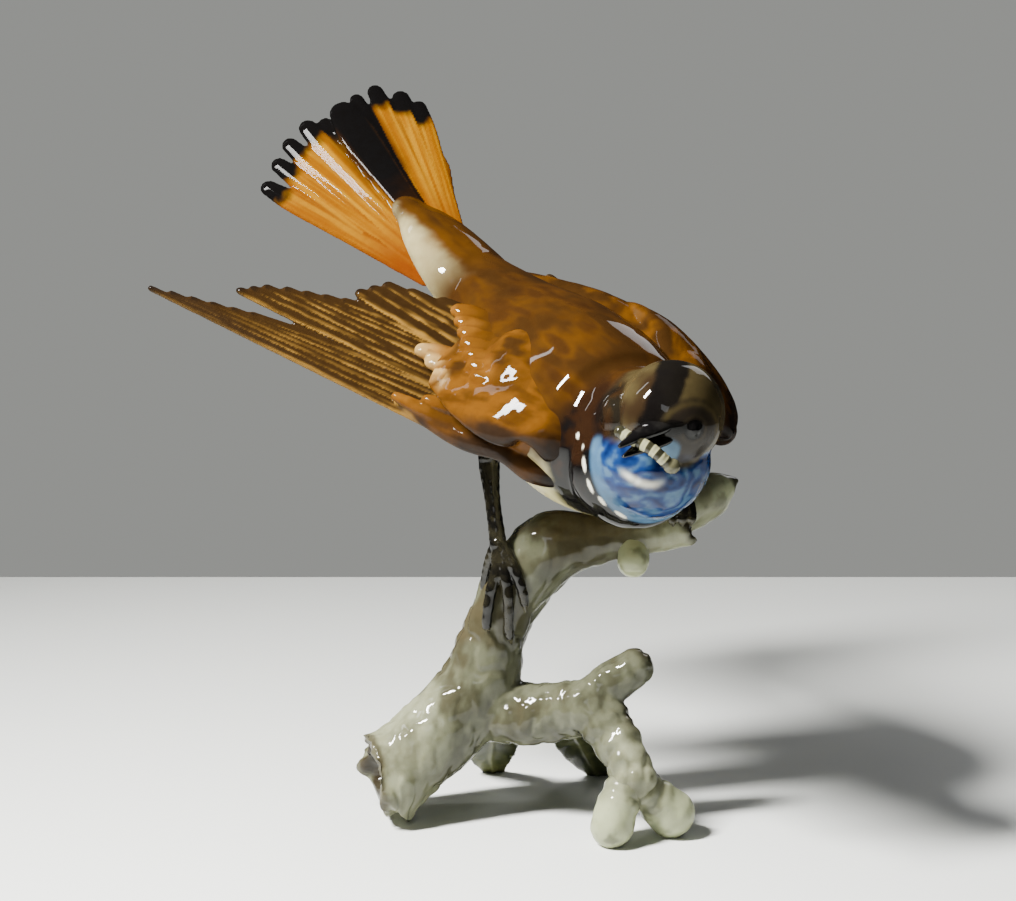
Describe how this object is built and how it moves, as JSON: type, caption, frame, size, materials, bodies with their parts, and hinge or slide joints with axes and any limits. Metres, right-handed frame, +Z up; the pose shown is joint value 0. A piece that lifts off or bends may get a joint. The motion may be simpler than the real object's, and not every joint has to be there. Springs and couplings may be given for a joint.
{
  "type": "porcelain bird figurine",
  "caption": "Free-standing glazed porcelain figurine of a songbird perched on a forked branch, holding a grub crosswise in its bill.",
  "frame": {"origin": "under the middle of the figurine's outline, on the surface that it stands on", "axes": "+Z up, +X to the viewer's right when the bird's face looks at the viewer, -Y towards that viewer"},
  "size_m": [0.1325, 0.1237, 0.158],
  "materials": {
    "bark_glaze": "gloss",
    "bud_glaze": "gloss",
    "leaf_glaze": "gloss",
    "plumage_glaze": "gloss",
    "head_glaze": "gloss",
    "bill_glaze": "gloss",
    "grub_glaze": "gloss",
    "wing_glaze": "gloss",
    "tail_glaze": "gloss",
    "leg_glaze": "gloss"
  },
  "bodies": {
    "root": {"trunk": "bark_glaze", "perch_branch": "bark_glaze", "side_branch": "bark_glaze", "front_arm": "bark_glaze", "side_knob": "bark_glaze", "perch_bud": "bud_glaze", "perch_spur": "bud_glaze", "left_foot_bud": "bud_glaze", "right_foot_bud": "bud_glaze", "left_leaf": "leaf_glaze", "right_leaf": "leaf_glaze", "body_shell": "plumage_glaze", "head_shell": "head_glaze", "upper_bill": "bill_glaze", "lower_bill": "bill_glaze", "grub": "grub_glaze", "right_wing": "wing_glaze", "left_wing": "wing_glaze", "tail_fan": "tail_glaze", "tail_coverts": "plumage_glaze", "right_leg": "leg_glaze", "left_leg": "leg_glaze", "right_foot": "leg_glaze", "left_foot": "leg_glaze"}
  },
  "joints": []
}
